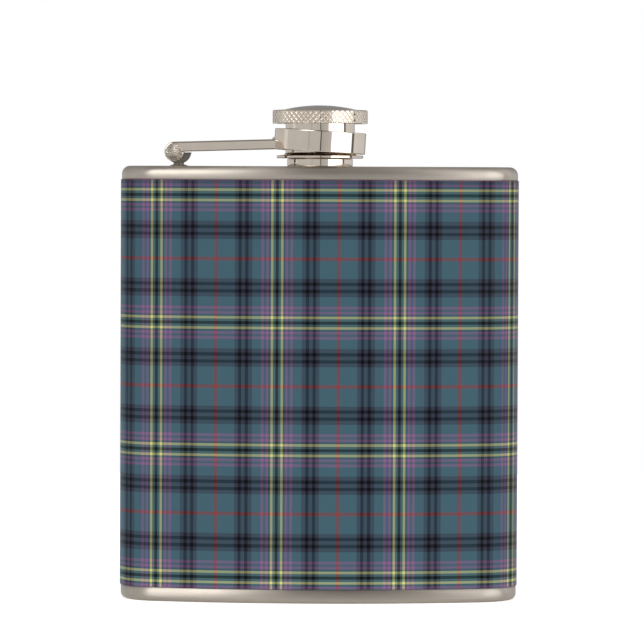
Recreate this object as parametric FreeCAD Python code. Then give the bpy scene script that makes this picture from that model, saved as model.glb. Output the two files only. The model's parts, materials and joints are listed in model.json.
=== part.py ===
import FreeCAD, Part

import math
import os

# A wrapped stainless hip flask: a kidney-shaped rolled body with two stamped
# ends, a threaded neck, and a screw cap that a hinged arm keeps captive.
# Millimetres. +Z up, +X towards the cap's free side (the hinge is at -X), and
# the convex front looks along -Y. The origin is the centre of the footprint.

# ---- driving dimensions -------------------------------------------------
BODY_HEIGHT = 100.0          # foot to flat of the top plate
BODY_HALF_WIDTH = 45.78      # bare steel
BODY_DEPTH = 21.6            # bare steel, measured square to the curve
FRONT_RADIUS = 140.0         # convex front, in plan
SHEET = 0.5                  # stainless sheet
SHOULDER_RADIUS = 1.9        # rolled edge of the top plate
FOOT_RADIUS = 1.4            # rolled edge of the bottom plate
SKIRT = 4.2                  # height of each stamped end's skirt
WELD_WIDTH = 0.6             # perimeter weld between a skirt and the shell
WELD_ROOT = 0.2              # how far a weld stands proud inside
RECESS_INSET = 2.9           # foot ring width
RECESS_DEPTH = 0.8

WRAP_FILM = 0.22             # printed vinyl with its clear laminate
WRAP_BOTTOM = 3.35
WRAP_TOP = 96.85
WRAP_OVERLAP = 6.0           # the film's end laps over its start, at the back

NECK_BORE_RADIUS = 5.5
NECK_ROOT_RADIUS = 6.0
NECK_CREST_RADIUS = 6.45
NECK_SPIGOT_RADIUS = 6.15    # passes the top plate
NECK_HOLE_RADIUS = 6.2
NECK_SPIGOT_DEPTH = 1.2      # below the flat of the top plate
COLLAR_RADIUS = 7.53
COLLAR_HEIGHT = 1.8
NECK_HEIGHT = 9.55           # rim above the top plate
THREAD_PITCH = 2.0
NECK_THREAD_START = 3.9      # lowest turn's middle, above the top plate
NECK_THREAD_TURNS = 2.0

HINGE_X = -33.5              # pin axis
HINGE_HEIGHT = 3.3           # pin axis above the top plate
PIN_RADIUS = 0.75
PIN_HOLE_RADIUS = 0.8
PIN_HEAD_RADIUS = 1.96
PIN_HEAD_HEIGHT = 0.7
PIN_HEAD_GAP = 0.05

LUG_THICKNESS = 2.5
LUG_EYE_RADIUS = 1.9         # round the pin
LUG_RADIUS = 2.9             # round seat below the arm
LUG_OFFSET = 1.0             # seat and stem centre, to the right of the pin
LUG_RISE = 0.1               # seat centre above the pin
LUG_FLAT = -0.2              # flat of the seat, below the pin axis
STEM_RADIUS = 1.21
POST_FOOT_RADIUS = 1.75      # resistance-welded foot
POST_FOOT_HEIGHT = 0.3

ARM_SLOPE = 1.69             # degrees, rising towards the cap
ARM_THICKNESS = 2.33
ARM_WIDTH = 4.7
ARM_BELOW_PIN = 0.08         # the bar's underside below the pin axis
ARM_EYE_RADIUS = 2.25
FORK_SLOT = 2.7
FORK_SLOT_DEPTH = 2.95
ARM_EDGE = 0.45              # rounded long edges

RING_OUTER_RADIUS = 10.5
RING_INNER_RADIUS = 9.15
RING_HEIGHT = 4.9
RING_CENTRE_HEIGHT = 5.75    # above the top plate
RING_TILT = 3.27             # degrees, hinge side up
RING_EDGE = 0.18
ARM_WELD_SIZE = 0.55

CAP_BOTTOM = 1.85            # above the top plate
FLANGE_RADIUS = 9.95
FLANGE_THICKNESS = 0.69
FLARE_RADIUS = 8.95          # where the flare meets the flange
FLARE_HEIGHT = 0.7
SLEEVE_RADIUS = 7.95
SLEEVE_ROOT_RADIUS = 7.25
SLEEVE_CREST_RADIUS = 6.95
SLEEVE_THREAD_START = 4.9
SLEEVE_THREAD_TURNS = 1.9
HEAD_BOTTOM = 9.8
HEAD_RADIUS = 10.95          # over the knurl's crests
HEAD_EDGE_TOP = 12.68
HEAD_CHAMFER = 0.25
HEAD_TOP = 13.06             # inner edge of the sloping land
DOME_SEAT_RADIUS = 8.3
DOME_SEAT = 12.3
DOME_TOP = 14.05
GASKET_RADIUS = 6.9
GASKET_BOTTOM = 9.6
GASKET_THICKNESS = 0.9
GASKET_GAP = 0.06            # the gasket turns freely in its seat

# ---- sizes worked out from them -----------------------------------------
END_RADIUS = BODY_DEPTH / 2
BACK_RADIUS = FRONT_RADIUS - BODY_DEPTH
MIDDLE_RADIUS = FRONT_RADIUS - END_RADIUS
END_CENTRE_X = BODY_HALF_WIDTH - END_RADIUS
END_ANGLE = math.asin(END_CENTRE_X / MIDDLE_RADIUS)
# The footprint's box is centred on the origin, and that fixes where the
# centre of the body's curve lies.
CURVE_CENTRE_Y = (FRONT_RADIUS + MIDDLE_RADIUS * math.cos(END_ANGLE) - END_RADIUS) / 2
NECK_Y = CURVE_CENTRE_Y - MIDDLE_RADIUS
END_CENTRE_Y = CURVE_CENTRE_Y - MIDDLE_RADIUS * math.cos(END_ANGLE)

UP = FreeCAD.Vector(0, 0, 1)
OPENING_AXIS = FreeCAD.Vector(0, -1, 0)
HINGE = FreeCAD.Vector(HINGE_X, NECK_Y, BODY_HEIGHT + HINGE_HEIGHT)
NECK_FOOT = FreeCAD.Vector(0, NECK_Y, BODY_HEIGHT)


# ---- helpers ------------------------------------------------------------
def curve_point(radius, angle, z):
    """A point at an angle from the body's middle, about the curve's centre."""
    return FreeCAD.Vector(radius * math.sin(angle), CURVE_CENTRE_Y - radius * math.cos(angle), z)


def end_point(side, radius, angle, z):
    """A point on an end's round, at an angle from that end's outward side."""
    return FreeCAD.Vector(side * (END_CENTRE_X + radius * math.cos(angle)),
                          END_CENTRE_Y + radius * math.sin(angle), z)


def kidney_wire(inset, z):
    """The body's outline in plan, moved inwards by an inset."""
    front = FRONT_RADIUS - inset
    back = BACK_RADIUS + inset
    end = END_RADIUS - inset
    left_front = curve_point(front, -END_ANGLE, z)
    right_front = curve_point(front, END_ANGLE, z)
    left_back = curve_point(back, -END_ANGLE, z)
    right_back = curve_point(back, END_ANGLE, z)
    edges = [
        Part.Arc(left_front, curve_point(front, 0, z), right_front).toShape(),
        Part.Arc(right_front, end_point(1, end, END_ANGLE, z), right_back).toShape(),
        Part.Arc(right_back, curve_point(back, 0, z), left_back).toShape(),
        Part.Arc(left_back, end_point(-1, end, END_ANGLE, z), left_front).toShape(),
    ]
    return Part.Wire(edges)


def kidney_prism(inset, low, high):
    """A solid of the body's outline between two heights."""
    face = Part.Face(kidney_wire(inset, low))
    return face.extrude(UP * (high - low))


def rounded_at(solid, z, radius):
    """The solid with every outline edge at a height rounded."""
    edges = [edge for edge in solid.Edges
             if abs(edge.BoundBox.ZMin - z) < 1e-6 and abs(edge.BoundBox.ZMax - z) < 1e-6]
    return solid.makeFillet(radius, edges)


def turned(points, axis_foot):
    """A solid turned about the vertical through a point, from a profile of
    (radius, height) pairs; the heights are above that point."""
    corners = [FreeCAD.Vector(axis_foot.x + radius, axis_foot.y, axis_foot.z + height)
               for radius, height in points]
    face = Part.Face(Part.makePolygon(corners + corners[:1]))
    return face.revolve(axis_foot, UP, 360)


def thread_ridge(root, crest, start, turns, overlap):
    """A helical ridge of trapezium section; the overlap buries its foot."""
    outward = 1 if crest > root else -1
    foot_half = 0.36 * THREAD_PITCH
    crest_half = 0.10 * THREAD_PITCH
    foot = root - outward * overlap
    helix = Part.makeHelix(THREAD_PITCH, THREAD_PITCH * turns, root)
    section = Part.makePolygon([
        FreeCAD.Vector(foot, 0, -foot_half),
        FreeCAD.Vector(crest, 0, -crest_half),
        FreeCAD.Vector(crest, 0, crest_half),
        FreeCAD.Vector(foot, 0, foot_half),
        FreeCAD.Vector(foot, 0, -foot_half),
    ])
    ridge = Part.Wire(helix.Edges).makePipeShell([section], True, True)
    ridge.translate(NECK_FOOT + UP * start)
    return ridge


def cylinder_along_y(radius, centre, low, high):
    """A cylinder on the Y direction, between two distances from a centre."""
    foot = centre + FreeCAD.Vector(0, low, 0)
    return Part.makeCylinder(radius, high - low, foot, FreeCAD.Vector(0, 1, 0))


def box_at(centre, x_range, y_range, z_range):
    """A box given by ranges measured from a centre."""
    size = [high - low for low, high in (x_range, y_range, z_range)]
    corner = centre + FreeCAD.Vector(x_range[0], y_range[0], z_range[0])
    return Part.makeBox(size[0], size[1], size[2], corner)


def one_solid(shape):
    """The single solid in a shape, healed."""
    shape = shape.removeSplitter()
    solids = shape.Solids
    assert len(solids) == 1, len(solids)
    return solids[0]


# ---- the flask's body ---------------------------------------------------
def make_body_shell():
    low = SKIRT + WELD_WIDTH
    high = BODY_HEIGHT - SKIRT - WELD_WIDTH
    return kidney_prism(0, low, high).cut(kidney_prism(SHEET, low, high))


def make_perimeter_weld(low):
    """A butt weld, ground flush outside and a little proud inside."""
    high = low + WELD_WIDTH
    return kidney_prism(0, low, high).cut(kidney_prism(SHEET + WELD_ROOT, low, high))


def make_seam_weld():
    """The bead on the shell's closing seam, down the inside of the back."""
    low = SKIRT + WELD_WIDTH
    high = BODY_HEIGHT - SKIRT - WELD_WIDTH
    wall = BACK_RADIUS + SHEET
    half_angle = 0.8 / wall
    bead_height = 0.3
    left = curve_point(wall, -half_angle, low)
    right = curve_point(wall, half_angle, low)
    against_wall = Part.Arc(left, curve_point(wall, 0, low), right).toShape()
    crown = Part.Arc(right, curve_point(wall + bead_height, 0, low), left).toShape()
    return Part.Face(Part.Wire([against_wall, crown])).extrude(UP * (high - low))


def make_top_plate():
    low = BODY_HEIGHT - SKIRT
    outside = rounded_at(kidney_prism(0, low, BODY_HEIGHT), BODY_HEIGHT, SHOULDER_RADIUS)
    ceiling = BODY_HEIGHT - SHEET
    inside = rounded_at(kidney_prism(SHEET, low - 1, ceiling), ceiling, SHOULDER_RADIUS - SHEET)
    hole = Part.makeCylinder(NECK_HOLE_RADIUS, 2 * SHEET, NECK_FOOT - UP * 1.5 * SHEET)
    return outside.cut(inside).cut(hole)


def make_bottom_plate():
    outside = rounded_at(kidney_prism(0, 0, SKIRT), 0, FOOT_RADIUS)
    recess = rounded_at(kidney_prism(RECESS_INSET, -1, RECESS_DEPTH), RECESS_DEPTH, 0.5)
    inside = rounded_at(kidney_prism(SHEET, SHEET, SKIRT + 1), SHEET, FOOT_RADIUS - SHEET)
    raised = kidney_prism(RECESS_INSET - SHEET, 0, RECESS_DEPTH + SHEET)
    return outside.cut(recess).cut(inside.cut(raised))


def make_wrap():
    """The film, and its end that laps over its start at the back."""
    film = kidney_prism(-WRAP_FILM, WRAP_BOTTOM, WRAP_TOP).cut(
        kidney_prism(0, WRAP_BOTTOM, WRAP_TOP))
    outer = BACK_RADIUS - WRAP_FILM
    top_of_lap = outer - WRAP_FILM
    angle = WRAP_OVERLAP / outer
    corners = [curve_point(radius, turn, WRAP_BOTTOM)
               for radius, turn in ((outer + WRAP_FILM / 2, 0), (outer + WRAP_FILM / 2, angle),
                                    (top_of_lap, angle), (top_of_lap, 0))]
    middles = [curve_point(outer + WRAP_FILM / 2, angle / 2, WRAP_BOTTOM),
               curve_point(top_of_lap, angle / 2, WRAP_BOTTOM)]
    wire = Part.Wire([
        Part.Arc(corners[0], middles[0], corners[1]).toShape(),
        Part.LineSegment(corners[1], corners[2]).toShape(),
        Part.Arc(corners[2], middles[1], corners[3]).toShape(),
        Part.LineSegment(corners[3], corners[0]).toShape(),
    ])
    lap = Part.Face(wire).extrude(UP * (WRAP_TOP - WRAP_BOTTOM))
    return film.fuse(lap)


# ---- the neck -----------------------------------------------------------
def make_neck():
    rim = 0.15
    tube = turned([
        (NECK_BORE_RADIUS, -NECK_SPIGOT_DEPTH), (NECK_SPIGOT_RADIUS, -NECK_SPIGOT_DEPTH),
        (NECK_SPIGOT_RADIUS, 0), (COLLAR_RADIUS, 0), (COLLAR_RADIUS, COLLAR_HEIGHT - rim),
        (COLLAR_RADIUS - rim, COLLAR_HEIGHT), (NECK_ROOT_RADIUS, COLLAR_HEIGHT),
        (NECK_ROOT_RADIUS, NECK_HEIGHT - rim), (NECK_ROOT_RADIUS - rim, NECK_HEIGHT),
        (NECK_BORE_RADIUS, NECK_HEIGHT),
    ], NECK_FOOT)
    ridge = thread_ridge(NECK_ROOT_RADIUS, NECK_CREST_RADIUS,
                         NECK_THREAD_START, NECK_THREAD_TURNS, 0.1)
    return tube.fuse(ridge)


def make_neck_weld():
    """The fillet of weld under the plate, round the neck's spigot."""
    size = 0.6
    return turned([
        (NECK_SPIGOT_RADIUS, -SHEET), (NECK_SPIGOT_RADIUS, -SHEET - size),
        (NECK_SPIGOT_RADIUS + size, -SHEET),
    ], NECK_FOOT)


# ---- the hinge ----------------------------------------------------------
def make_hinge_post():
    """A flat-topped round lug with an eye for the pin, on a stem and foot."""
    half = LUG_THICKNESS / 2
    seat_centre = HINGE + FreeCAD.Vector(LUG_OFFSET, 0, LUG_RISE)
    seat = cylinder_along_y(LUG_RADIUS, seat_centre, -half, half)
    above = box_at(HINGE, (-6, 8), (-half - 1, half + 1), (LUG_FLAT, LUG_FLAT + 6))
    eye = cylinder_along_y(LUG_EYE_RADIUS, HINGE, -half, half)
    stem_foot = FreeCAD.Vector(HINGE_X + LUG_OFFSET, NECK_Y, BODY_HEIGHT)
    stem = Part.makeCylinder(STEM_RADIUS, HINGE_HEIGHT - 1.5, stem_foot)
    foot = Part.makeCylinder(POST_FOOT_RADIUS, POST_FOOT_HEIGHT, stem_foot)
    hole = cylinder_along_y(PIN_HOLE_RADIUS, HINGE, -half - 1, half + 1)
    return seat.cut(above).fuse([eye, stem, foot]).cut(hole)


def make_post_weld():
    """The bead of weld round the post's foot."""
    size = 0.4
    foot = FreeCAD.Vector(HINGE_X + LUG_OFFSET, NECK_Y, BODY_HEIGHT)
    return turned([
        (POST_FOOT_RADIUS, 0), (POST_FOOT_RADIUS + size, 0),
        (POST_FOOT_RADIUS + 0.6 * size, 0.45 * POST_FOOT_HEIGHT),
        (POST_FOOT_RADIUS, 0.8 * POST_FOOT_HEIGHT),
    ], foot)


def make_hinge_pin():
    """A rivet with a low domed head at each end."""
    shoulder = ARM_WIDTH / 2 + PIN_HEAD_GAP
    shaft = cylinder_along_y(PIN_RADIUS, HINGE, -shoulder - 0.1, shoulder + 0.1)
    dome = (PIN_HEAD_RADIUS ** 2 + PIN_HEAD_HEIGHT ** 2) / (2 * PIN_HEAD_HEIGHT)
    heads = []
    for side in (-1, 1):
        centre = HINGE + FreeCAD.Vector(0, side * (shoulder + PIN_HEAD_HEIGHT - dome), 0)
        ball = Part.makeSphere(dome, centre)
        keep = cylinder_along_y(2 * dome, HINGE, min(side * shoulder, side * 4),
                                max(side * shoulder, side * 4))
        heads.append(ball.common(keep))
    return shaft.fuse(heads)


def make_ring_blank():
    """The captive ring's outer cylinder, tilted as it rests."""
    centre = NECK_FOOT + UP * RING_CENTRE_HEIGHT
    blank = Part.makeCylinder(RING_OUTER_RADIUS, RING_HEIGHT, centre - UP * RING_HEIGHT / 2)
    blank.rotate(centre, OPENING_AXIS, -RING_TILT)
    return blank


def make_ring():
    centre = NECK_FOOT + UP * RING_CENTRE_HEIGHT
    half = RING_HEIGHT / 2
    ring = turned([
        (RING_INNER_RADIUS, RING_EDGE - half), (RING_INNER_RADIUS + RING_EDGE, -half),
        (RING_OUTER_RADIUS - RING_EDGE, -half), (RING_OUTER_RADIUS, RING_EDGE - half),
        (RING_OUTER_RADIUS, half - RING_EDGE), (RING_OUTER_RADIUS - RING_EDGE, half),
        (RING_INNER_RADIUS + RING_EDGE, half), (RING_INNER_RADIUS, half - RING_EDGE),
    ], centre)
    ring.rotate(centre, OPENING_AXIS, -RING_TILT)
    return ring


def make_arm():
    """A bar with rounded edges, forked round the lug, that ends on the ring."""
    half = ARM_WIDTH / 2
    length = -HINGE_X
    top = ARM_THICKNESS - ARM_BELOW_PIN
    bar = box_at(HINGE, (0, length), (-half, half), (-ARM_BELOW_PIN, top))
    eye = cylinder_along_y(ARM_EYE_RADIUS, HINGE, -half, half)
    blank = one_solid(bar.fuse(eye))
    long_edges = [edge for edge in blank.Edges
                  if edge.BoundBox.XLength > length / 2 and edge.BoundBox.YLength < 1e-6]
    blank = blank.makeFillet(ARM_EDGE, long_edges)
    slot_half = FORK_SLOT / 2
    slot = box_at(HINGE, (-4, FORK_SLOT_DEPTH), (-slot_half, slot_half), (-4, 4))
    hole = cylinder_along_y(PIN_HOLE_RADIUS, HINGE, -half - 1, half + 1)
    arm = blank.cut(slot).cut(hole)
    arm.rotate(HINGE, OPENING_AXIS, ARM_SLOPE)
    beyond_ring = box_at(NECK_FOOT, (0, 20), (-20, 20), (-1, 20))
    return arm.cut(make_ring_blank()).cut(beyond_ring)


def make_arm_weld(arm):
    """The bead of solder in the corner between the bar's top and the ring."""
    corner = HINGE + FreeCAD.Vector(-HINGE_X - RING_OUTER_RADIUS, 0,
                                    ARM_THICKNESS - ARM_BELOW_PIN
                                    + (-HINGE_X - RING_OUTER_RADIUS) * math.tan(math.radians(ARM_SLOPE)))
    half = ARM_WIDTH / 2 - ARM_EDGE
    profile = Part.makePolygon([
        corner + FreeCAD.Vector(-ARM_WELD_SIZE, -half, -0.2),
        corner + FreeCAD.Vector(0.6, -half, -0.2),
        corner + FreeCAD.Vector(0.6, -half, ARM_WELD_SIZE),
        corner + FreeCAD.Vector(-0.15, -half, ARM_WELD_SIZE),
        corner + FreeCAD.Vector(-ARM_WELD_SIZE, -half, 0.15),
        corner + FreeCAD.Vector(-ARM_WELD_SIZE, -half, -0.2),
    ])
    bead = Part.Face(profile).extrude(FreeCAD.Vector(0, 2 * half, 0))
    return bead.cut(make_ring_blank()).cut(arm)


# ---- the cap ------------------------------------------------------------
def make_cap_sleeve():
    """A turned sleeve, threaded inside, flared to a flange at its mouth."""
    flange_top = CAP_BOTTOM + FLANGE_THICKNESS
    edge = 0.15
    sleeve = turned([
        (SLEEVE_ROOT_RADIUS, CAP_BOTTOM), (FLANGE_RADIUS - edge, CAP_BOTTOM),
        (FLANGE_RADIUS, CAP_BOTTOM + edge), (FLANGE_RADIUS, flange_top - edge),
        (FLANGE_RADIUS - edge, flange_top), (FLARE_RADIUS, flange_top),
        (SLEEVE_RADIUS, flange_top + FLARE_HEIGHT), (SLEEVE_RADIUS, HEAD_BOTTOM),
        (SLEEVE_ROOT_RADIUS, HEAD_BOTTOM),
    ], NECK_FOOT)
    ridge = thread_ridge(SLEEVE_ROOT_RADIUS, SLEEVE_CREST_RADIUS,
                         SLEEVE_THREAD_START, SLEEVE_THREAD_TURNS, 0.1)
    return sleeve.fuse(ridge)


def make_cap_head():
    """The knurled disc, with a seat above for the dome and below for the
    gasket."""
    gasket_seat = GASKET_RADIUS + GASKET_GAP
    seat_top = GASKET_BOTTOM + GASKET_THICKNESS + GASKET_GAP
    return turned([
        (0, seat_top), (gasket_seat, seat_top), (gasket_seat, HEAD_BOTTOM),
        (HEAD_RADIUS - HEAD_CHAMFER / 2, HEAD_BOTTOM),
        (HEAD_RADIUS, HEAD_BOTTOM + HEAD_CHAMFER / 2),
        (HEAD_RADIUS, HEAD_EDGE_TOP), (HEAD_RADIUS - HEAD_CHAMFER, HEAD_EDGE_TOP + HEAD_CHAMFER),
        (DOME_SEAT_RADIUS, HEAD_TOP), (DOME_SEAT_RADIUS, DOME_SEAT), (0, DOME_SEAT),
    ], NECK_FOOT)


def make_cap_dome():
    """A pressed disc with a low spherical crown, seated in the head."""
    rise = DOME_TOP - HEAD_TOP
    crown = (DOME_SEAT_RADIUS ** 2 + rise ** 2) / (2 * rise)
    centre = NECK_FOOT + UP * (DOME_TOP - crown)
    ball = Part.makeSphere(crown, centre)
    blank = Part.makeCylinder(DOME_SEAT_RADIUS, DOME_TOP - DOME_SEAT, NECK_FOOT + UP * DOME_SEAT)
    return blank.common(ball)


def make_gasket():
    return Part.makeCylinder(GASKET_RADIUS, GASKET_THICKNESS, NECK_FOOT + UP * GASKET_BOTTOM)


# ---- write every piece --------------------------------------------------
def build():
    """Every node's name and shape."""
    arm = make_arm()
    return {
        "body_shell": make_body_shell(),
        "seam_weld": make_seam_weld(),
        "top_plate": make_top_plate(),
        "top_weld": make_perimeter_weld(BODY_HEIGHT - SKIRT - WELD_WIDTH),
        "bottom_plate": make_bottom_plate(),
        "bottom_weld": make_perimeter_weld(SKIRT),
        "vinyl_wrap": make_wrap(),
        "neck_tube": make_neck(),
        "neck_weld": make_neck_weld(),
        "hinge_post": make_hinge_post(),
        "post_weld": make_post_weld(),
        "hinge_pin": make_hinge_pin(),
        "cap_arm": arm,
        "arm_weld": make_arm_weld(arm),
        "captive_ring": make_ring(),
        "cap_sleeve": make_cap_sleeve(),
        "cap_head": make_cap_head(),
        "cap_dome": make_cap_dome(),
        "cap_gasket": make_gasket(),
    }


os.makedirs("parts", exist_ok=True)
for node, shape in build().items():
    solid = one_solid(shape)
    solid.exportStep("parts/" + node + ".step")
    box = solid.BoundBox
    print("%-14s valid %s volume %9.2f mm3  x %.2f..%.2f  y %.2f..%.2f  z %.2f..%.2f" % (
        node, solid.isValid(), solid.Volume,
        box.XMin, box.XMax, box.YMin, box.YMax, box.ZMin, box.ZMax))
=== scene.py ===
import json
import math

import bmesh
import bpy
import numpy as np
from mathutils import Matrix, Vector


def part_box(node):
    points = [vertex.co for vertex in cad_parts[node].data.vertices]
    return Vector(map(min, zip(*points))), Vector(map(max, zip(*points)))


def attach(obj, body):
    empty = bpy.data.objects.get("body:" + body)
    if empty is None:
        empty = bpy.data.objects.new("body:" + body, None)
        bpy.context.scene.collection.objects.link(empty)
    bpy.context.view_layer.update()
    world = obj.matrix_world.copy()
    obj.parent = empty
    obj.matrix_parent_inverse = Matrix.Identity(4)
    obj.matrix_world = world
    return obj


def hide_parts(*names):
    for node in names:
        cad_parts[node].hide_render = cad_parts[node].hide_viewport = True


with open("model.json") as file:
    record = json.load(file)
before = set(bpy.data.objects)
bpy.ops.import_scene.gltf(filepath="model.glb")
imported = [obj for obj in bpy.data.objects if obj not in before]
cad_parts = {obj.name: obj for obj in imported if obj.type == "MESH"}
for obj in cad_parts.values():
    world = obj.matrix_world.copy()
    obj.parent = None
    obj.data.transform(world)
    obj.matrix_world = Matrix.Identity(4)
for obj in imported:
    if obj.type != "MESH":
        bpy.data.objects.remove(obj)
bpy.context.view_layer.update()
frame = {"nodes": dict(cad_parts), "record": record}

# ---- Where everything stands ------------------------------------------------
# The frame gives the places: the neck's axis and the hinge's axis come from the
# two joints, and the top plate's flat from its own box. All sizes are in mm.
joints = {joint["name"]: joint for joint in frame["record"]["behaviour"]["joints"]}
neck = 1000 * np.array(joints["cap_spin"]["pos_m"])
hinge = 1000 * np.array(joints["arm_swing"]["pos_m"])
plate_top = 1000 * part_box("top_plate")[1].z
neck[2] = plate_top


# ---- Camera -----------------------------------------------------------------
# A long lens about a metre away, level with the top of the printed film, aimed
# slightly down, and turned a quarter of a degree about its own axis.
camera_data = bpy.data.cameras.new("camera")
camera_data.sensor_width = 36.0
camera_data.lens = 253.7
camera_data.clip_start = 0.05
camera_data.clip_end = 20.0
camera = bpy.data.objects.new("camera", camera_data)
bpy.context.scene.collection.objects.link(camera)
aim = Matrix.Rotation(math.radians(90 - 1.79), 4, "X") @ Matrix.Rotation(math.radians(0.25), 4, "Z")
camera.matrix_world = Matrix.Translation((0.00062, -1.0476, 0.09685)) @ aim
bpy.context.scene.camera = camera
bpy.context.scene.view_settings.view_transform = "Standard"


# ---- Bottom plate: stamped stainless sheet ----------------------------------
# A shallow tray pressed from 0.5 mm sheet, with a rolled foot ring and a raised
# middle, welded to the shell and brushed along its length.
body_half_width = 45.78
body_depth = 21.6
front_radius = 140.0
sheet = 0.5
skirt = 4.2
end_radius = body_depth / 2
back_radius = front_radius - body_depth
middle_radius = front_radius - end_radius
end_x = body_half_width - end_radius
end_angle = math.asin(end_x / middle_radius)
curve_y = (front_radius + middle_radius * math.cos(end_angle) - end_radius) / 2
end_y = curve_y - middle_radius * math.cos(end_angle)
front_half = front_radius * end_angle
round_end = math.pi * end_radius
half_girth = front_half + round_end + back_radius * end_angle


def girth(s):
    """Points and outward normals of the bare body in plan, at distances s along
    it from the middle of the front. Three arcs follow each other: the front
    about the curve's centre, the full-round end, and the hollow back about the
    curve's centre again. The other side is its mirror image."""
    s = (s + half_girth) % (2 * half_girth) - half_girth
    side = np.where(s < 0, -1.0, 1.0)
    along = np.abs(s)
    on_front = along / front_radius
    on_end = end_angle - math.pi / 2 + (along - front_half) / end_radius
    on_back = end_angle - (along - front_half - round_end) / back_radius
    part = [along <= front_half, along <= front_half + round_end]
    normal_x = np.select(part, [np.sin(on_front), np.cos(on_end)], -np.sin(on_back))
    normal_y = np.select(part, [-np.cos(on_front), np.sin(on_end)], np.cos(on_back))
    x = np.select(part, [front_radius * normal_x, end_x + end_radius * normal_x],
                  -back_radius * normal_x)
    y = np.select(part, [curve_y + front_radius * normal_y, end_y + end_radius * normal_y],
                  curve_y - back_radius * normal_y)
    return np.stack([side * x, y], -1), np.stack([side * normal_x, normal_y], -1)


def walls(rows, count=900):
    """Rows of (inset, height) carried round the body: each row is the outline
    moved inwards by its inset. Gives a grid of points, row by row."""
    points, normals = girth(np.arange(count) * 2 * half_girth / count)
    inset = rows[:, 0][:, None, None]
    plan = points[None] - inset * normals[None]
    height = np.broadcast_to(rows[:, 1][:, None, None], plan.shape[:2] + (1,))
    return np.concatenate([plan, height], -1)


def quarter(centre, radius, start, end, steps=12):
    """An arc of (inset, height) about a centre, between two angles in degrees."""
    turn = np.radians(np.linspace(start, end, steps))
    return np.stack([centre[0] + radius * np.cos(turn), centre[1] + radius * np.sin(turn)], -1)


def piece(name, grids, close_u=True, close_v=False, uv=None):
    """One mesh object from grids of points in mm, each a closed or open sheet.
    Coincident points are merged, so that seams and poles close, and closed
    shells are turned outwards. Edges sharper than 35 degrees stay crisp."""
    points, faces, first = [], [], 0
    for grid in grids:
        rows, columns = grid.shape[:2]
        i = np.arange(rows if close_v else rows - 1)[:, None]
        j = np.arange(columns if close_u else columns - 1)[None, :]
        up, right = (i + 1) % rows, (j + 1) % columns
        corners = [i * columns + j, i * columns + right, up * columns + right, up * columns + j]
        faces.append(first + np.stack(np.broadcast_arrays(*corners), -1).reshape(-1, 4))
        points.append(grid.reshape(-1, 3) / 1000)
        first += rows * columns
    mesh = bpy.data.meshes.new(name)
    mesh.from_pydata(np.concatenate(points).tolist(), [], np.concatenate(faces).tolist())
    if uv is None:
        work = bmesh.new()
        work.from_mesh(mesh)
        bmesh.ops.remove_doubles(work, verts=work.verts, dist=2e-7)
        bmesh.ops.dissolve_degenerate(work, edges=work.edges, dist=1e-8)
        if close_v:
            bmesh.ops.recalc_face_normals(work, faces=work.faces)
        work.to_mesh(mesh)
        work.free()
    else:
        layer = mesh.uv_layers.new(name="film")
        vertex = np.empty(len(mesh.loops), dtype=np.int32)
        mesh.loops.foreach_get("vertex_index", vertex)
        layer.data.foreach_set("uv", uv.reshape(-1, 2)[vertex].astype(np.float32).ravel())
    mesh.polygons.foreach_set("use_smooth", np.ones(len(mesh.polygons), dtype=bool))
    mesh.set_sharp_from_angle(angle=math.radians(35))
    made = bpy.data.objects.new(name, mesh)
    bpy.context.scene.collection.objects.link(made)
    return made


def thicken(made, thickness):
    """Give a sheet its wall, grown inwards from the modelled side."""
    wall = made.modifiers.new("wall", "SOLIDIFY")
    wall.thickness = thickness / 1000
    wall.offset = -1
    return made


def true_flats(made):
    """Shade each flat as flat, leaving the bend to the rounding beside it."""
    shading = made.modifiers.new("true_flats", "WEIGHTED_NORMAL")
    shading.weight = 100
    shading.keep_sharp = True


def face_outwards(made):
    """Turn the faces of a mesh's closed shells outwards."""
    work = bmesh.new()
    work.from_mesh(made.data)
    bmesh.ops.recalc_face_normals(work, faces=work.faces)
    work.to_mesh(made.data)
    work.free()


def linear(code):
    """An sRGB hex colour as linear red, green, blue and alpha."""
    value = np.array([int(code[k:k + 2], 16) for k in (0, 2, 4)]) / 255
    value = np.where(value <= 0.04045, value / 12.92, ((value + 0.055) / 1.055) ** 2.4)
    return (*value.tolist(), 1.0)


def add(tree, kind, inputs=None, **settings):
    """Add one node: settings are its own, inputs are values or sockets."""
    made = tree.nodes.new(kind)
    for key, value in settings.items():
        setattr(made, key, value)
    for key, value in (inputs or {}).items():
        if isinstance(value, bpy.types.NodeSocket):
            tree.links.new(value, made.inputs[key])
        else:
            made.inputs[key].default_value = value
    return made


def finish(name):
    """A new material, with its tree and its empty output."""
    material = bpy.data.materials.new(name)
    material.use_nodes = True
    material.node_tree.nodes.clear()
    return material, material.node_tree


def millimetres(tree, stretch):
    """Object coordinates in mm, each axis multiplied by its own stretch."""
    place = add(tree, "ShaderNodeTexCoord")
    scale = [1000 * value for value in stretch]
    return add(tree, "ShaderNodeMapping", {"Vector": place.outputs["Object"], "Scale": scale})


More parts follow.
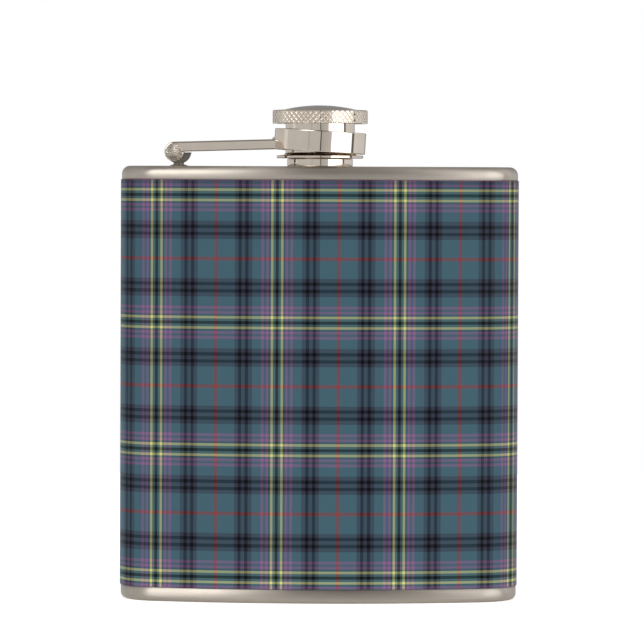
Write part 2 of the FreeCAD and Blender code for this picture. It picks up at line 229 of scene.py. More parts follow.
# Brushed stainless steel, 304 grade, linished round its edge with a fine belt:
# faint level lines about 0.2 mm apart smear each reflection up and down.
brushed_steel, tree = finish("brushed_stainless_steel")
along_side = add(tree, "ShaderNodeTexNoise",
                 {"Vector": millimetres(tree, (0.03, 0.03, 5.0)).outputs[0], "Scale": 1.0, "Detail": 3.0})
along_flat = add(tree, "ShaderNodeTexNoise",
                 {"Vector": millimetres(tree, (0.03, 5.0, 0.03)).outputs[0], "Scale": 1.0, "Detail": 3.0})
level = add(tree, "ShaderNodeSeparateXYZ", {"Vector": millimetres(tree, (1.0, 1.0, 1.0)).outputs[0]})
on_flat = add(tree, "ShaderNodeMapRange", {"Value": level.outputs["Z"], "From Min": plate_top - 0.9,
                                           "From Max": plate_top - 0.2})
lines = add(tree, "ShaderNodeMix", {0: on_flat.outputs[0], 2: along_side.outputs["Fac"],
                                    3: along_flat.outputs["Fac"]}, data_type="FLOAT")
smudge = add(tree, "ShaderNodeTexNoise",
             {"Vector": millimetres(tree, (0.12, 0.12, 0.12)).outputs[0], "Scale": 1.0, "Detail": 4.0})
tint = add(tree, "ShaderNodeMix", {0: lines.outputs[0], 6: linear("b4aba0"), 7: linear("c6bdb3")},
           data_type="RGBA")
rough = add(tree, "ShaderNodeMapRange", {"Value": smudge.outputs["Fac"], "From Min": 0.3,
                                         "From Max": 0.7, "To Min": 0.34, "To Max": 0.42})
relief = add(tree, "ShaderNodeBump", {"Height": lines.outputs[0], "Strength": 0.12,
                                      "Distance": 0.00002})
steel = add(tree, "ShaderNodeBsdfPrincipled",
            {"Base Color": tint.outputs[2], "Metallic": 1.0, "Roughness": rough.outputs[0],
             "Anisotropic": 0.85, "Anisotropic Rotation": 0.25, "Normal": relief.outputs[0],
             "Tangent": add(tree, "ShaderNodeTangent", direction_type="RADIAL",
                            axis="Z").outputs[0]})
add(tree, "ShaderNodeOutputMaterial", {"Surface": steel.outputs[0]})

recess_inset, recess_depth, foot_radius, recess_radius = 2.9, 0.8, 1.4, 0.5
recess_edge = recess_inset + recess_radius
middle_of_plate = np.array([neck[0], neck[1], recess_depth])
foot_rows = np.concatenate([
    [[recess_edge, recess_depth]],
    quarter((recess_edge, recess_depth - recess_radius), recess_radius, 90, 180, 8),
    [[recess_inset, 0.0]],
    quarter((foot_radius, foot_radius), foot_radius, 270, 180),
    [[0.0, skirt]],
])
ring_of_foot = walls(foot_rows)
inwards = np.linspace(0, 1, 10)[:, None, None]
raised_middle = middle_of_plate + inwards * (ring_of_foot[:1] - middle_of_plate)
bottom_plate = piece("bottom_end", [np.concatenate([raised_middle, ring_of_foot[1:]])])
thicken(bottom_plate, sheet)
bottom_plate.data.materials.append(brushed_steel)
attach(bottom_plate, "flask")
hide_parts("bottom_plate")


# ---- Body shell and its welds -----------------------------------------------
# The shell is 0.5 mm stainless sheet rolled to the kidney shape, closed by one
# seam at the back and welded to both ends. The film hides all of it.
welded_steel, tree = finish("weld_bead_steel")
ripple = add(tree, "ShaderNodeTexNoise",
             {"Vector": millimetres(tree, (1.6, 1.6, 1.6)).outputs[0], "Scale": 1.0, "Detail": 4.0})
tint = add(tree, "ShaderNodeMix", {0: ripple.outputs["Fac"], 6: linear("b4aca2"),
                                   7: linear("e6dfd6")}, data_type="RGBA")
relief = add(tree, "ShaderNodeBump", {"Height": ripple.outputs["Fac"], "Strength": 0.5,
                                      "Distance": 0.00008})
steel = add(tree, "ShaderNodeBsdfPrincipled",
            {"Base Color": tint.outputs[2], "Metallic": 1.0, "Roughness": 0.3,
             "Normal": relief.outputs[0]})
add(tree, "ShaderNodeOutputMaterial", {"Surface": steel.outputs[0]})

frame["nodes"]["body_shell"].data.materials.clear()
frame["nodes"]["body_shell"].data.materials.append(brushed_steel)
for carried in ("seam_weld", "top_weld", "bottom_weld", "neck_weld", "post_weld", "arm_weld"):
    frame["nodes"][carried].data.materials.clear()
    frame["nodes"][carried].data.materials.append(welded_steel)


# ---- Top plate: stamped stainless sheet -------------------------------------
# The same sheet pressed with a rolled shoulder and pierced for the neck, which
# is welded in from below.
shoulder_radius = 1.9
hole_radius = 6.2
shoulder_rows = np.concatenate([
    [[0.0, plate_top - skirt]],
    quarter((shoulder_radius, plate_top - shoulder_radius), shoulder_radius, 180, 90, 14),
])
shoulder = walls(shoulder_rows)
edge_of_flat = shoulder[-1]
towards_neck = edge_of_flat[:, :2] - neck[:2]
heading = towards_neck / np.linalg.norm(towards_neck, axis=1, keepdims=True)
hole = np.concatenate([neck[:2] + hole_radius * heading,
                       np.full((len(heading), 1), plate_top)], 1)
across = np.linspace(0, 1, 14)[1:, None, None]
flat = edge_of_flat + across * (hole - edge_of_flat)
top_plate = piece("top_end", [np.concatenate([shoulder, flat])])
thicken(top_plate, sheet)
top_plate.data.materials.append(brushed_steel)
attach(top_plate, "flask")
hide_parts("top_plate")


# ---- Printed film -----------------------------------------------------------
# Tartan printed on smooth white vinyl under a clear satin laminate, wrapped
# once round the body with its end lapped 6 mm over its start at the back.
film = 0.22
film_bottom, film_top = 3.35, 96.85
lap = 6.0
lap_step = 1.2
film_columns, film_rows = 1100, 40

run = np.linspace(0, 2 * half_girth + lap, film_columns)
outline, outward = girth(run + half_girth - lap)
lift = film * (1 + np.clip((run - 2 * half_girth + lap_step) / lap_step, 0, 1))
plan = outline + lift[:, None] * outward
heights = np.linspace(film_bottom, film_top, film_rows)
film_grid = np.concatenate([
    np.broadcast_to(plan[None], (film_rows, film_columns, 2)),
    np.broadcast_to(heights[:, None, None], (film_rows, film_columns, 1)),
], -1)
length = np.concatenate([[0], np.cumsum(np.linalg.norm(np.diff(plan, axis=0), axis=1))])
length -= np.interp(lap + half_girth, run, length)
film_uv = np.stack(np.broadcast_arrays(length[None, :], heights[:, None]), -1)
wrap = piece("tartan_film", [film_grid], close_u=False, uv=film_uv)
thicken(wrap, film)

# Satin-laminated vinyl print: flat printed inks with a soft sheen and a very
# slight orange peel. Warp and weft inks overprint half and half, so a crossing
# shows the average of its two bands as the eye reads them.
printed_vinyl, tree = finish("printed_tartan_vinyl")
teal, green, slate, mauve = "466573", "506c6a", "465b67", "545f73"
yellow, purple, red = "e2db88", "936491", "973f41"
navy, halo, centre = "070810", "373b48", "0a1610"
half_sett = [(1.4, centre), (2.4, green), (2.7, yellow), (2.3, slate), (2.5, purple), (2.6, mauve),
             (2.7, purple), (9.7, teal), (3.9, halo), (3.6, navy), (3.7, halo), (3.4, navy),
             (3.9, halo), (18.0, teal), (2.0, red)]
sett_width = sum(width for width, ink in half_sett)
warp_repeat, warp_dark_centre = 28.1, -9.65
weft_repeat, weft_dark_centre = 29.13, 64.27
display_gamma = 2.2
place = add(tree, "ShaderNodeUVMap", uv_map="film")
position = add(tree, "ShaderNodeSeparateXYZ", {"Vector": place.outputs[0]})


def stripes(coordinate, period, dark_centre):
    """One set of stripes, mirrored about each dark centre: the distance from
    the nearest dark centre, over half a repeat, picks its band."""
    from_dark = add(tree, "ShaderNodeMath", {0: coordinate, 1: dark_centre}, operation="SUBTRACT")
    folded = add(tree, "ShaderNodeMath", {0: from_dark.outputs[0], 1: period / 2},
                 operation="PINGPONG")
    share = add(tree, "ShaderNodeMath", {0: folded.outputs[0], 1: period / 2}, operation="DIVIDE")
    bands = add(tree, "ShaderNodeValToRGB", {"Fac": share.outputs[0]})
    ramp = bands.color_ramp
    ramp.interpolation = "CONSTANT"
    ramp.elements[0].color = linear(half_sett[0][1])
    ramp.elements.remove(ramp.elements[1])
    start = half_sett[0][0]
    for width, ink in half_sett[1:]:
        ramp.elements.new(start / sett_width).color = linear(ink)
        start += width
    return add(tree, "ShaderNodeGamma", {"Color": bands.outputs[0],
                                        "Gamma": 1 / display_gamma})


warp = stripes(position.outputs["X"], warp_repeat, warp_dark_centre)
weft = stripes(position.outputs["Y"], weft_repeat, weft_dark_centre)
crossing = add(tree, "ShaderNodeMix", {0: 0.5, 6: warp.outputs[0], 7: weft.outputs[0]},
               data_type="RGBA")
ink = add(tree, "ShaderNodeGamma", {"Color": crossing.outputs[2],
                                   "Gamma": display_gamma})
grain = add(tree, "ShaderNodeTexNoise",
            {"Vector": millimetres(tree, (6.0, 6.0, 6.0)).outputs[0], "Scale": 1.0, "Detail": 2.0})
ink_depth = add(tree, "ShaderNodeMapRange", {"Value": grain.outputs["Fac"], "To Min": 0.95,
                                             "To Max": 1.03})
print_colour = add(tree, "ShaderNodeVectorMath",
                   {0: ink.outputs[0], "Scale": ink_depth.outputs[0]}, operation="SCALE")
peel = add(tree, "ShaderNodeTexNoise",
           {"Vector": millimetres(tree, (0.9, 0.9, 0.9)).outputs[0], "Scale": 1.0, "Detail": 2.0})
gloss = add(tree, "ShaderNodeMapRange", {"Value": peel.outputs["Fac"], "From Min": 0.3,
                                         "From Max": 0.7, "To Min": 0.36, "To Max": 0.44})
relief = add(tree, "ShaderNodeBump", {"Height": peel.outputs["Fac"], "Strength": 0.06,
                                      "Distance": 0.00003})
vinyl = add(tree, "ShaderNodeBsdfPrincipled",
            {"Base Color": print_colour.outputs[0], "Roughness": gloss.outputs[0], "IOR": 1.46,
             "Specular IOR Level": 0.08, "Normal": relief.outputs[0]})
add(tree, "ShaderNodeOutputMaterial", {"Surface": vinyl.outputs[0]})
wrap.data.materials.append(printed_vinyl)
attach(wrap, "flask")
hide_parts("vinyl_wrap")


# ---- Neck -------------------------------------------------------------------
# Turned from stainless bar: a spigot through the plate, a collar that seats on
# it, and a two-turn thread of 2 mm pitch below a plain rim.
pitch = 2.0
run_out, foot_half, crest_half = 0.12, 0.36, 0.10


def eased(corners, cut, steps=6):
    """A closed profile with its corners rounded. Each corner gives way to the
    curve (1-t)^2 A + 2t(1-t) B + t^2 C, where B is the corner and A and C lie
    on its two sides, a distance cut from it."""
    corners = np.array(corners, dtype=float)
    cut = np.broadcast_to(np.array(cut, dtype=float), len(corners))[:, None]
    before, after = np.roll(corners, 1, 0) - corners, np.roll(corners, -1, 0) - corners
    a = corners + cut * before / np.linalg.norm(before, axis=1, keepdims=True)
    c = corners + cut * after / np.linalg.norm(after, axis=1, keepdims=True)
    t = np.linspace(0, 1, steps)[None, :, None]
    curve = (1 - t) ** 2 * a[:, None] + 2 * t * (1 - t) * corners[:, None] + t ** 2 * c[:, None]
    return curve.reshape(-1, 2)


def finer(profile, step, low, high):
    """The closed profile with extra points, a step apart, at heights between
    low and high."""
    loop = np.concatenate([profile, profile[:1]])
    travel = np.concatenate([[0], np.cumsum(np.linalg.norm(np.diff(loop, axis=0), axis=1))])
    extra = np.arange(0, travel[-1], step)
    height = np.interp(extra, travel, loop[:, 1])
    where = np.union1d(travel[:-1], extra[(height > low) & (height < high)])
    return np.stack([np.interp(where, travel, loop[:, k]) for k in (0, 1)], -1)


def turned(profile, centre, count=192, cut=None):
    """A closed profile of (radius, height) turned about the vertical through a
    centre. cut(angle, radius, height) may move each radius, as a thread or a
    knurl does."""
    angle = np.arange(count)[None, :] * 2 * math.pi / count
    radius = np.broadcast_to(profile[:, :1], (len(profile), count))
    height = np.broadcast_to(profile[:, 1:], (len(profile), count))
    if cut is not None:
        radius = cut(angle, radius, height)
    return np.stack([centre[0] + radius * np.cos(angle), centre[1] + radius * np.sin(angle),
                     centre[2] + height], -1)


def ridge(angle, height, start, turns):
    """How far up a thread's ridge each point is, 0 to 1: a trapezium across the
    helix height = start + pitch * turn, fading out over its two ends."""
    turn = (height - start) / pitch - angle / (2 * math.pi)
    nearest = np.clip(np.round(turn), 0, math.ceil(turns))
    off = np.abs(turn - nearest)
    along = nearest + angle / (2 * math.pi)
    ends = np.clip(np.minimum(along, turns - along) / run_out, 0, 1)
    return np.clip((foot_half - off) / (foot_half - crest_half), 0, 1) * ends


# Polished stainless steel, 304 grade, buffed on a soft mop: mirror-like, with
# hairline buffing marks and faint handling smears in its gloss.
polished_steel, tree = finish("polished_stainless_steel")
hairline = add(tree, "ShaderNodeTexNoise",
               {"Vector": millimetres(tree, (0.4, 0.4, 9.0)).outputs[0], "Scale": 1.0, "Detail": 3.0})
smear = add(tree, "ShaderNodeTexNoise",
            {"Vector": millimetres(tree, (0.3, 0.3, 0.3)).outputs[0], "Scale": 1.0, "Detail": 4.0})
tint = add(tree, "ShaderNodeMix", {0: smear.outputs["Fac"], 6: linear("d6cabc"),
                                   7: linear("e4dace")}, data_type="RGBA")
rough = add(tree, "ShaderNodeMapRange", {"Value": smear.outputs["Fac"], "From Min": 0.3,
                                         "From Max": 0.7, "To Min": 0.02, "To Max": 0.06})
relief = add(tree, "ShaderNodeBump", {"Height": hairline.outputs["Fac"], "Strength": 0.05,
                                      "Distance": 0.00001})
steel = add(tree, "ShaderNodeBsdfPrincipled",
            {"Base Color": tint.outputs[2], "Metallic": 1.0, "Roughness": rough.outputs[0],
             "Normal": relief.outputs[0]})
add(tree, "ShaderNodeOutputMaterial", {"Surface": steel.outputs[0]})

neck_start, neck_turns, neck_root, neck_crest = 3.9, 2.0, 6.0, 6.45
neck_profile = eased([(5.5, -1.2), (6.15, -1.2), (6.15, 0.0), (7.53, 0.0), (7.53, 1.8),
                      (neck_root, 1.8), (neck_root, 9.55), (5.5, 9.55)],
                     [0.05, 0.1, 0.0, 0.05, 0.2, 0.1, 0.18, 0.12])


def neck_thread(angle, radius, height):
    """The root radius plus the ridge's height, on the outer wall only."""
    outer = np.abs(radius - neck_root) < 0.01
    return radius + outer * (neck_crest - neck_root) * ridge(angle, height, neck_start, neck_turns)


neck_tube = piece("threaded_neck", [turned(finer(neck_profile, 0.1, 2.4, 9.0), neck, 180,
                                           neck_thread)], close_v=True)
neck_tube.data.materials.append(polished_steel)
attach(neck_tube, "flask")
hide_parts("neck_tube")


# ---- Hinge post -------------------------------------------------------------
# A small lug turned and milled from bar: a round seat below the arm, an eye for
# the rivet inside the arm's fork, and a stem resistance-welded to the plate.
def slab(loop, thickness, near_ease, far_ease, middle):
    """A closed loop of (x, z) given a thickness along Y, with its two edges
    eased. Towards an edge the loop moves inwards along its own normals by
    ease * (1 - sin t) while the side moves by ease * (1 - cos t), and both
    faces close on a middle point from which the whole loop can be seen."""
    ahead = np.roll(loop, -1, 0) - np.roll(loop, 1, 0)
    inward = np.stack([-ahead[:, 1], ahead[:, 0]], -1)
    inward /= np.linalg.norm(inward, axis=1, keepdims=True)
    area = np.sum(loop[:, 0] * np.roll(loop[:, 1], -1) - np.roll(loop[:, 0], -1) * loop[:, 1])
    inward *= np.sign(area)
    t = np.linspace(0, math.pi / 2, 6)
    inset = np.concatenate([near_ease * (1 - np.sin(t)), far_ease * (1 - np.sin(t))[::-1]])
    side = np.concatenate([near_ease * (1 - np.cos(t)) - thickness / 2,
                           thickness / 2 - far_ease * (1 - np.cos(t))[::-1]])
    ring = loop[None] + inset[:, None, None] * inward[None]
    layers = np.stack([ring[..., 0], np.broadcast_to(side[:, None], ring.shape[:2]),
                       ring[..., 1]], -1)
    faces = np.array([[[middle[0], y, middle[1]]] for y in (-thickness / 2, thickness / 2)])
    faces = np.broadcast_to(faces, (2,) + layers.shape[1:])
    return np.concatenate([faces[:1], layers, faces[1:]])


def arc(centre, radius, start, end, steps):
    """Points of (x, z) on a circle between two angles in degrees."""
    turn = np.radians(np.linspace(start, end, steps))
    return np.stack([centre[0] + radius * np.cos(turn), centre[1] + radius * np.sin(turn)], -1)


lug_offset, lug_rise, lug_radius, lug_flat = 1.0, 0.1, 2.9, -0.2
reach = math.degrees(math.asin((lug_rise - lug_flat) / lug_radius))
seat = slab(arc((lug_offset, lug_rise), lug_radius, 180 + reach, 360 - reach, 60), 2.5, 0.15, 0.15,
            (lug_offset, lug_rise - lug_radius / 2))
eye = slab(arc((0, 0), 1.9, 0, 360, 73)[:-1], 2.5, 0.12, 0.12, (0, 0))
stem_profile = eased([(0, 0), (1.75, 0), (1.75, 0.3), (1.21, 0.3), (1.21, 1.8), (0, 1.8)],
                     [0, 0, 0.1, 0.1, 0, 0])
stem_foot = np.array([hinge[0] + lug_offset, hinge[1], plate_top])

# Stainless, dull and slightly pitted. Its dark grey colour is painted shade for the lug's place under the
# arm.
lug_steel_painted_shade, tree = finish("dull_cast_steel")
pits = add(tree, "ShaderNodeTexNoise",
           {"Vector": millimetres(tree, (2.2, 2.2, 2.2)).outputs[0], "Scale": 1.0, "Detail": 4.0})
# Both greys are kept dark: painted shade under the arm, on the lug and its stem.
tint = add(tree, "ShaderNodeMix", {0: pits.outputs["Fac"], 6: linear("57524d"),
                                   7: linear("9a938b")}, data_type="RGBA")
relief = add(tree, "ShaderNodeBump", {"Height": pits.outputs["Fac"], "Strength": 0.5,
                                      "Distance": 0.00006})
steel = add(tree, "ShaderNodeBsdfPrincipled",
            {"Base Color": tint.outputs[2], "Metallic": 1.0, "Roughness": 0.27,
             "Normal": relief.outputs[0]})
add(tree, "ShaderNodeOutputMaterial", {"Surface": steel.outputs[0]})

post = piece("hinge_lug", [seat + hinge, eye + hinge], close_v=False)
stem = piece("hinge_stem", [turned(stem_profile, stem_foot, 64)], close_v=True)
for part_of_post in (post, stem):
    face_outwards(part_of_post)
    true_flats(part_of_post)
    part_of_post.data.materials.append(lug_steel_painted_shade)
    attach(part_of_post, "flask")
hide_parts("hinge_post")
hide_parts("hinge_post")


# ---- Hinge rivet ------------------------------------------------------------
# A stainless rivet through the fork and the eye, with a low domed head struck
# with a fine stipple at each end.
pin_radius, head_radius, head_height, head_gap, arm_width = 0.75, 1.96, 0.7, 0.05, 4.7
shoulder_y = arm_width / 2 + head_gap
dome_radius = (head_radius ** 2 + head_height ** 2) / (2 * head_height)
sweep = math.asin(head_radius / dome_radius)
turn = np.linspace(0, sweep, 18)
cap_curve = np.stack([dome_radius * np.sin(turn),
                      shoulder_y + head_height - dome_radius * (1 - np.cos(turn))], -1)
half_rivet = np.concatenate([cap_curve, [[head_radius, shoulder_y], [pin_radius, shoulder_y]]])
rivet_profile = np.concatenate([half_rivet, half_rivet[::-1] * [1, -1]])
spun = turned(rivet_profile, (0, 0, 0), 72)
rivet_grid = np.stack([spun[..., 0], spun[..., 2], spun[..., 1]], -1) + hinge
rivet = piece("hinge_rivet", [rivet_grid], close_v=True)

# Struck stainless steel: a stipple of about 0.3 mm dents scatters small glints.
stippled_steel, tree = finish("stippled_rivet_steel")
dents = add(tree, "ShaderNodeTexVoronoi",
            {"Vector": millimetres(tree, (3.2, 3.2, 3.2)).outputs[0], "Scale": 1.0})
tint = add(tree, "ShaderNodeMix", {0: dents.outputs["Distance"], 6: linear("958c82"),
                                   7: linear("c9bfb3")}, data_type="RGBA")
relief = add(tree, "ShaderNodeBump", {"Height": dents.outputs["Distance"], "Strength": 0.8,
                                      "Distance": 0.00022})
steel = add(tree, "ShaderNodeBsdfPrincipled",
            {"Base Color": tint.outputs[2], "Metallic": 1.0, "Roughness": 0.16,
             "Normal": relief.outputs[0]})
add(tree, "ShaderNodeOutputMaterial", {"Surface": steel.outputs[0]})
rivet.data.materials.append(stippled_steel)
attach(rivet, "arm")
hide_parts("hinge_pin")


# ---- Arm --------------------------------------------------------------------
# A bar milled from stainless, round at the rivet and forked over the lug, that
# rises slightly to the ring and is soldered to it.
arm_slope, arm_top, arm_under, eye_radius = math.radians(1.69), 2.25, -0.08, 2.25
slot_width, slot_depth, arm_ease = 2.7, 2.95, 0.35
arm_reach = -hinge[0] - 10.0


def placed_on_arm(grid):
    """Turn a grid about the rivet to the arm's slope, and set it there."""
    x, y, z = grid[..., 0], grid[..., 1], grid[..., 2]
    return np.stack([x * math.cos(arm_slope) - z * math.sin(arm_slope), y,
                     x * math.sin(arm_slope) + z * math.cos(arm_slope)], -1) + hinge


meets = math.degrees(math.asin(arm_under / eye_radius))
arm_side = np.concatenate([arc((0, 0), eye_radius, 90, 360 + meets, 60),
                           [[arm_reach, arm_under], [arm_reach, arm_top]]])
cheek_thickness = (arm_width - slot_width) / 2
cheek_offset = np.array([0, (slot_width + cheek_thickness) / 2, 0])
seen_from = (0.8, 0.9)
near_cheek = slab(arm_side, cheek_thickness, arm_ease, 0.0, seen_from) - cheek_offset
far_cheek = slab(arm_side, cheek_thickness, 0.0, arm_ease, seen_from) + cheek_offset
web = slab(np.array([[slot_depth, arm_under], [arm_reach, arm_under], [arm_reach, arm_top],
                     [slot_depth, arm_top]]), slot_width, 0.0, 0.0, (arm_reach / 2, 1.0))
arm = piece("cap_arm_bar", [placed_on_arm(near_cheek), placed_on_arm(far_cheek),
                            placed_on_arm(web)])
face_outwards(arm)
true_flats(arm)
arm.data.materials.append(polished_steel)
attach(arm, "arm")
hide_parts("cap_arm")


# ---- Captive ring -----------------------------------------------------------
# A plain turned band, loose round the cap's sleeve; the flange below keeps it
# on, and the arm's slope leaves it tilted with the hinge side up.
ring_tilt, ring_height, ring_centre = math.radians(3.27), 4.9, 5.75
ring_bore, ring_outside = 9.15, 10.5
ring_profile = eased([(ring_bore, -ring_height / 2), (ring_outside, -ring_height / 2),
                      (ring_outside, ring_height / 2), (ring_bore, ring_height / 2)], 0.25)
level = turned(ring_profile, (0, 0, 0), 256)
ring_grid = np.stack([level[..., 0] * math.cos(ring_tilt) + level[..., 2] * math.sin(ring_tilt),
                      level[..., 1],
                      level[..., 2] * math.cos(ring_tilt) - level[..., 0] * math.sin(ring_tilt)],
                     -1) + neck + [0, 0, ring_centre]
ring = piece("captive_band", [ring_grid], close_v=True)
true_flats(ring)
ring.data.materials.append(polished_steel)
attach(ring, "arm")
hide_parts("captive_ring")


# ---- Cap sleeve -------------------------------------------------------------
# Turned stainless, threaded inside to match the neck and flared at its mouth to
# a thin flange.
mouth, flange_top, sleeve_radius, sleeve_root, sleeve_crest = 1.85, 2.54, 7.95, 7.25, 6.95
sleeve_start, sleeve_turns, head_bottom = 4.9, 1.9, 9.8
flare = np.radians(np.linspace(0, 90, 10))
flare_curve = np.stack([8.95 - 1.0 * np.sin(flare), flange_top + 0.7 * (1 - np.cos(flare))], -1)
sleeve_profile = np.concatenate([
    [[sleeve_root, mouth], [9.8, mouth], [9.95, mouth + 0.15], [9.95, flange_top - 0.15],
     [9.8, flange_top]], flare_curve, [[sleeve_radius, head_bottom], [sleeve_root, head_bottom]]])


def sleeve_thread(angle, radius, height):
    """The root radius less the ridge's height, on the inner wall only."""
    inner = np.abs(radius - sleeve_root) < 0.01
    return radius - inner * (sleeve_root - sleeve_crest) * ridge(angle, height, sleeve_start,
                                                                 sleeve_turns)


sleeve = piece("cap_sleeve_band", [turned(finer(sleeve_profile, 0.1, 3.3, 9.7), neck, 200,
                                          sleeve_thread)], close_v=True)
true_flats(sleeve)
sleeve.data.materials.append(polished_steel)
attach(sleeve, "cap")
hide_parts("cap_sleeve")


# ---- Cap head ---------------------------------------------------------------
# Turned stainless with a diamond knurl rolled into its edge, 52 diamonds round,
# and a sloping land that leads up to the dome's seat.
knurl_count, knurl_depth, head_r, edge_top = 52, 0.17, 10.95, 12.68
diamond_height, groove_slope, knurl_run_out, columns_per_diamond = 1.4, 4.2, 0.12, 20
head_profile = np.concatenate([
    [[0.0, 10.56], [6.96, 10.56], [6.96, head_bottom], [head_r - 0.15, head_bottom],
     [head_r, head_bottom + 0.15], [head_r, edge_top], [head_r - 0.25, edge_top + 0.25],
     [8.3, 13.06], [8.3, 12.3], [0.0, 12.3]]])


def knurl(angle, radius, height):
    """Flat-topped diamonds between two families of slanted grooves: the lower
    of two triangle waves, taken along angle + height and angle - height, sets
    how far each point stands above the grooves' floor."""
    across_face = angle * knurl_count / (2 * math.pi)
    rise = (height - head_bottom) / diamond_height
    one = np.abs(2 * np.mod(across_face + rise, 1) - 1)
    other = np.abs(2 * np.mod(across_face - rise, 1) - 1)
    stand = np.minimum(np.minimum(one, other) * groove_slope, 1)
    from_edge = np.minimum(height - head_bottom - 0.15, edge_top - height)
    near_edge = np.clip(from_edge / knurl_run_out, 0, 1)
    return radius - (radius > head_r - 0.01) * near_edge * knurl_depth * (1 - stand)


fine_profile = finer(head_profile, 0.07, head_bottom + 0.16, edge_top - 0.01)
head = piece("cap_knurled_head", [turned(fine_profile, neck, knurl_count * columns_per_diamond,
                                         knurl)], close_v=True)
head.data.materials.append(polished_steel)
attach(head, "cap")
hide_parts("cap_head")


# ---- Cap dome ---------------------------------------------------------------
# A thin disc pressed to a low crown, polished, and let into the head.
dome_rim, dome_apex, dome_r = 13.06, 14.05, 8.3
crown = (dome_r ** 2 + (dome_apex - dome_rim) ** 2) / (2 * (dome_apex - dome_rim))
turn = np.linspace(0, math.asin(dome_r / crown), 40)
dome_profile = np.concatenate([
    np.stack([crown * np.sin(turn), dome_apex - crown * (1 - np.cos(turn))], -1),
    [[dome_r, 12.3], [0.0, 12.3]]])
dome = piece("cap_dome_disc", [turned(dome_profile, neck, 192)], close_v=True)

dome.data.materials.append(polished_steel)
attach(dome, "cap")
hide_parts("cap_dome")


# ---- Cap gasket -------------------------------------------------------------
# A disc of food-grade silicone pressed into the head, which seals on the rim.
soft_silicone, tree = finish("food_grade_silicone")
bloom = add(tree, "ShaderNodeTexNoise",
            {"Vector": millimetres(tree, (1.0, 1.0, 1.0)).outputs[0], "Scale": 1.0, "Detail": 3.0})
tint = add(tree, "ShaderNodeMix", {0: bloom.outputs["Fac"], 6: linear("d8d8d0"),
                                   7: linear("e8e8e2")}, data_type="RGBA")
rubber = add(tree, "ShaderNodeBsdfPrincipled",
             {"Base Color": tint.outputs[2], "Roughness": 0.55, "IOR": 1.41})
add(tree, "ShaderNodeOutputMaterial", {"Surface": rubber.outputs[0]})
frame["nodes"]["cap_gasket"].data.materials.clear()
frame["nodes"]["cap_gasket"].data.materials.append(soft_silicone)


# ---- Floor and studio -------------------------------------------------------
# A small pale table in a grey room with a white card at the right, a lamp high
# at the left and a dark ceiling and back wall, as silverware is shown.
table_half = 450
floor_points = table_half * np.array([[[-1.0, -1, 0], [1, -1, 0]], [[-1, 1, 0], [1, 1, 0]]])
floor = piece("floor", [floor_points], close_u=False)
pale_paper, tree = finish("pale_paper")
fibre = add(tree, "ShaderNodeTexNoise",
            {"Vector": millimetres(tree, (0.02, 0.02, 0.02)).outputs[0], "Scale": 1.0})
tint = add(tree, "ShaderNodeMix", {0: fibre.outputs["Fac"], 6: linear("fbfbfb"),
                                   7: linear("ffffff")}, data_type="RGBA")
mirrored = add(tree, "ShaderNodeLightPath")
glow = add(tree, "ShaderNodeMapRange", {"Value": mirrored.outputs["Is Glossy Ray"], "To Min": 0.62,
                                        "To Max": 0.12})
paper = add(tree, "ShaderNodeBsdfPrincipled",
            {"Base Color": tint.outputs[2], "Roughness": 0.9, "Specular IOR Level": 0.0,
             "Emission Color": (1, 1, 1, 1), "Emission Strength": glow.outputs[0]})
add(tree, "ShaderNodeOutputMaterial", {"Surface": paper.outputs[0]})
floor.data.materials.append(pale_paper)

world = bpy.data.worlds.new("studio")
bpy.context.scene.world = world
world.use_nodes = True
tree = world.node_tree
tree.nodes.clear()
toward = add(tree, "ShaderNodeSeparateXYZ",
             {"Vector": add(tree, "ShaderNodeTexCoord").outputs["Generated"]})
behind = add(tree, "ShaderNodeMath", {0: toward.outputs["Y"], 1: -1.0}, operation="MULTIPLY")
azimuth = add(tree, "ShaderNodeMath", {0: toward.outputs["X"], 1: behind.outputs[0]},
              operation="ARCTAN2")
round_room = add(tree, "ShaderNodeMapRange", {"Value": azimuth.outputs[0], "From Min": -math.pi,
                                              "From Max": math.pi})


ramp_scale = 4.0


def surround(stops):
    """Brightness all round the room from stops of (degrees, brightness), where
    degrees are counted from behind the camera, positive to its right. A ramp
    holds 0 to 1 only, so brightness is stored over ramp_scale."""
    made = add(tree, "ShaderNodeValToRGB", {"Fac": round_room.outputs[0]})
    ramp = made.color_ramp
    ramp.elements[0].color = (stops[0][1] / ramp_scale,) * 3 + (1,)
    ramp.elements[1].color = (stops[-1][1] / ramp_scale,) * 3 + (1,)
    for degrees, brightness in stops[1:-1]:
        ramp.elements.new((degrees + 180) / 360).color = (brightness / ramp_scale,) * 3 + (1,)
    return made


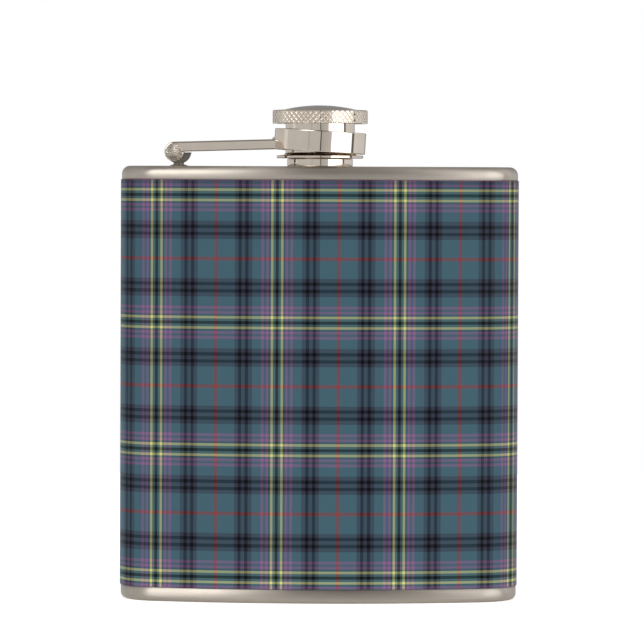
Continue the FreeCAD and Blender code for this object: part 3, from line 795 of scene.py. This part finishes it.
eye_level = surround([(-180, 0.34), (-159, 0.34), (-156, 0.66), (-106, 0.66), (-103, 0.86),
                      (-92, 0.86), (-89, 0.66), (-30, 0.66), (-29, 0.52), (-27, 0.52),
                      (-26, 0.66), (0.4, 0.64), (0.9, 0.03), (2.6, 0.03), (3.6, 0.52), (29, 0.66),
                      (30, 3.0), (60, 2.6), (86, 1.8), (87.5, 0.15), (94.5, 0.15), (96, 0.84), (150, 0.70),
                      (159, 0.34), (180, 0.34)])
upper = surround([(-180, 0.28), (-120, 0.55), (-60, 0.80), (-46, 3.6), (-24, 3.6), (-14, 0.9),
                  (-6, 0.15), (14, 0.15), (24, 0.5), (34, 1.5), (60, 1.9), (80, 1.4), (90, 0.8),
                  (110, 1.0), (150, 0.40), (180, 0.28)])
raised = add(tree, "ShaderNodeMapRange", {"Value": toward.outputs["Z"], "From Min": 0.14,
                                          "From Max": 0.20})
overhead = add(tree, "ShaderNodeMapRange", {"Value": toward.outputs["Z"], "From Min": 0.70,
                                            "From Max": 0.85})
walls_of_room = add(tree, "ShaderNodeMix", {0: raised.outputs[0], 6: eye_level.outputs[0],
                                            7: upper.outputs[0]}, data_type="RGBA")
room = add(tree, "ShaderNodeMix", {0: overhead.outputs[0], 6: walls_of_room.outputs[2],
                                   7: (0.09, 0.09, 0.09, 1)}, data_type="RGBA")
reflected = add(tree, "ShaderNodeBackground", {"Color": room.outputs[2], "Strength": ramp_scale})

# Matt surfaces are lit by an even soft fill, and the backdrop itself is white.
fill = add(tree, "ShaderNodeBackground", {"Color": (1, 1, 1, 1), "Strength": 0.41})
backdrop = add(tree, "ShaderNodeBackground", {"Color": (1, 1, 1, 1), "Strength": 1.0})
ray = add(tree, "ShaderNodeLightPath")
lit = add(tree, "ShaderNodeMixShader", {0: ray.outputs["Is Diffuse Ray"], 1: reflected.outputs[0],
                                        2: fill.outputs[0]})
either = add(tree, "ShaderNodeMixShader", {0: ray.outputs["Is Camera Ray"], 1: lit.outputs[0],
                                           2: backdrop.outputs[0]})
add(tree, "ShaderNodeOutputWorld", {"Surface": either.outputs[0]})
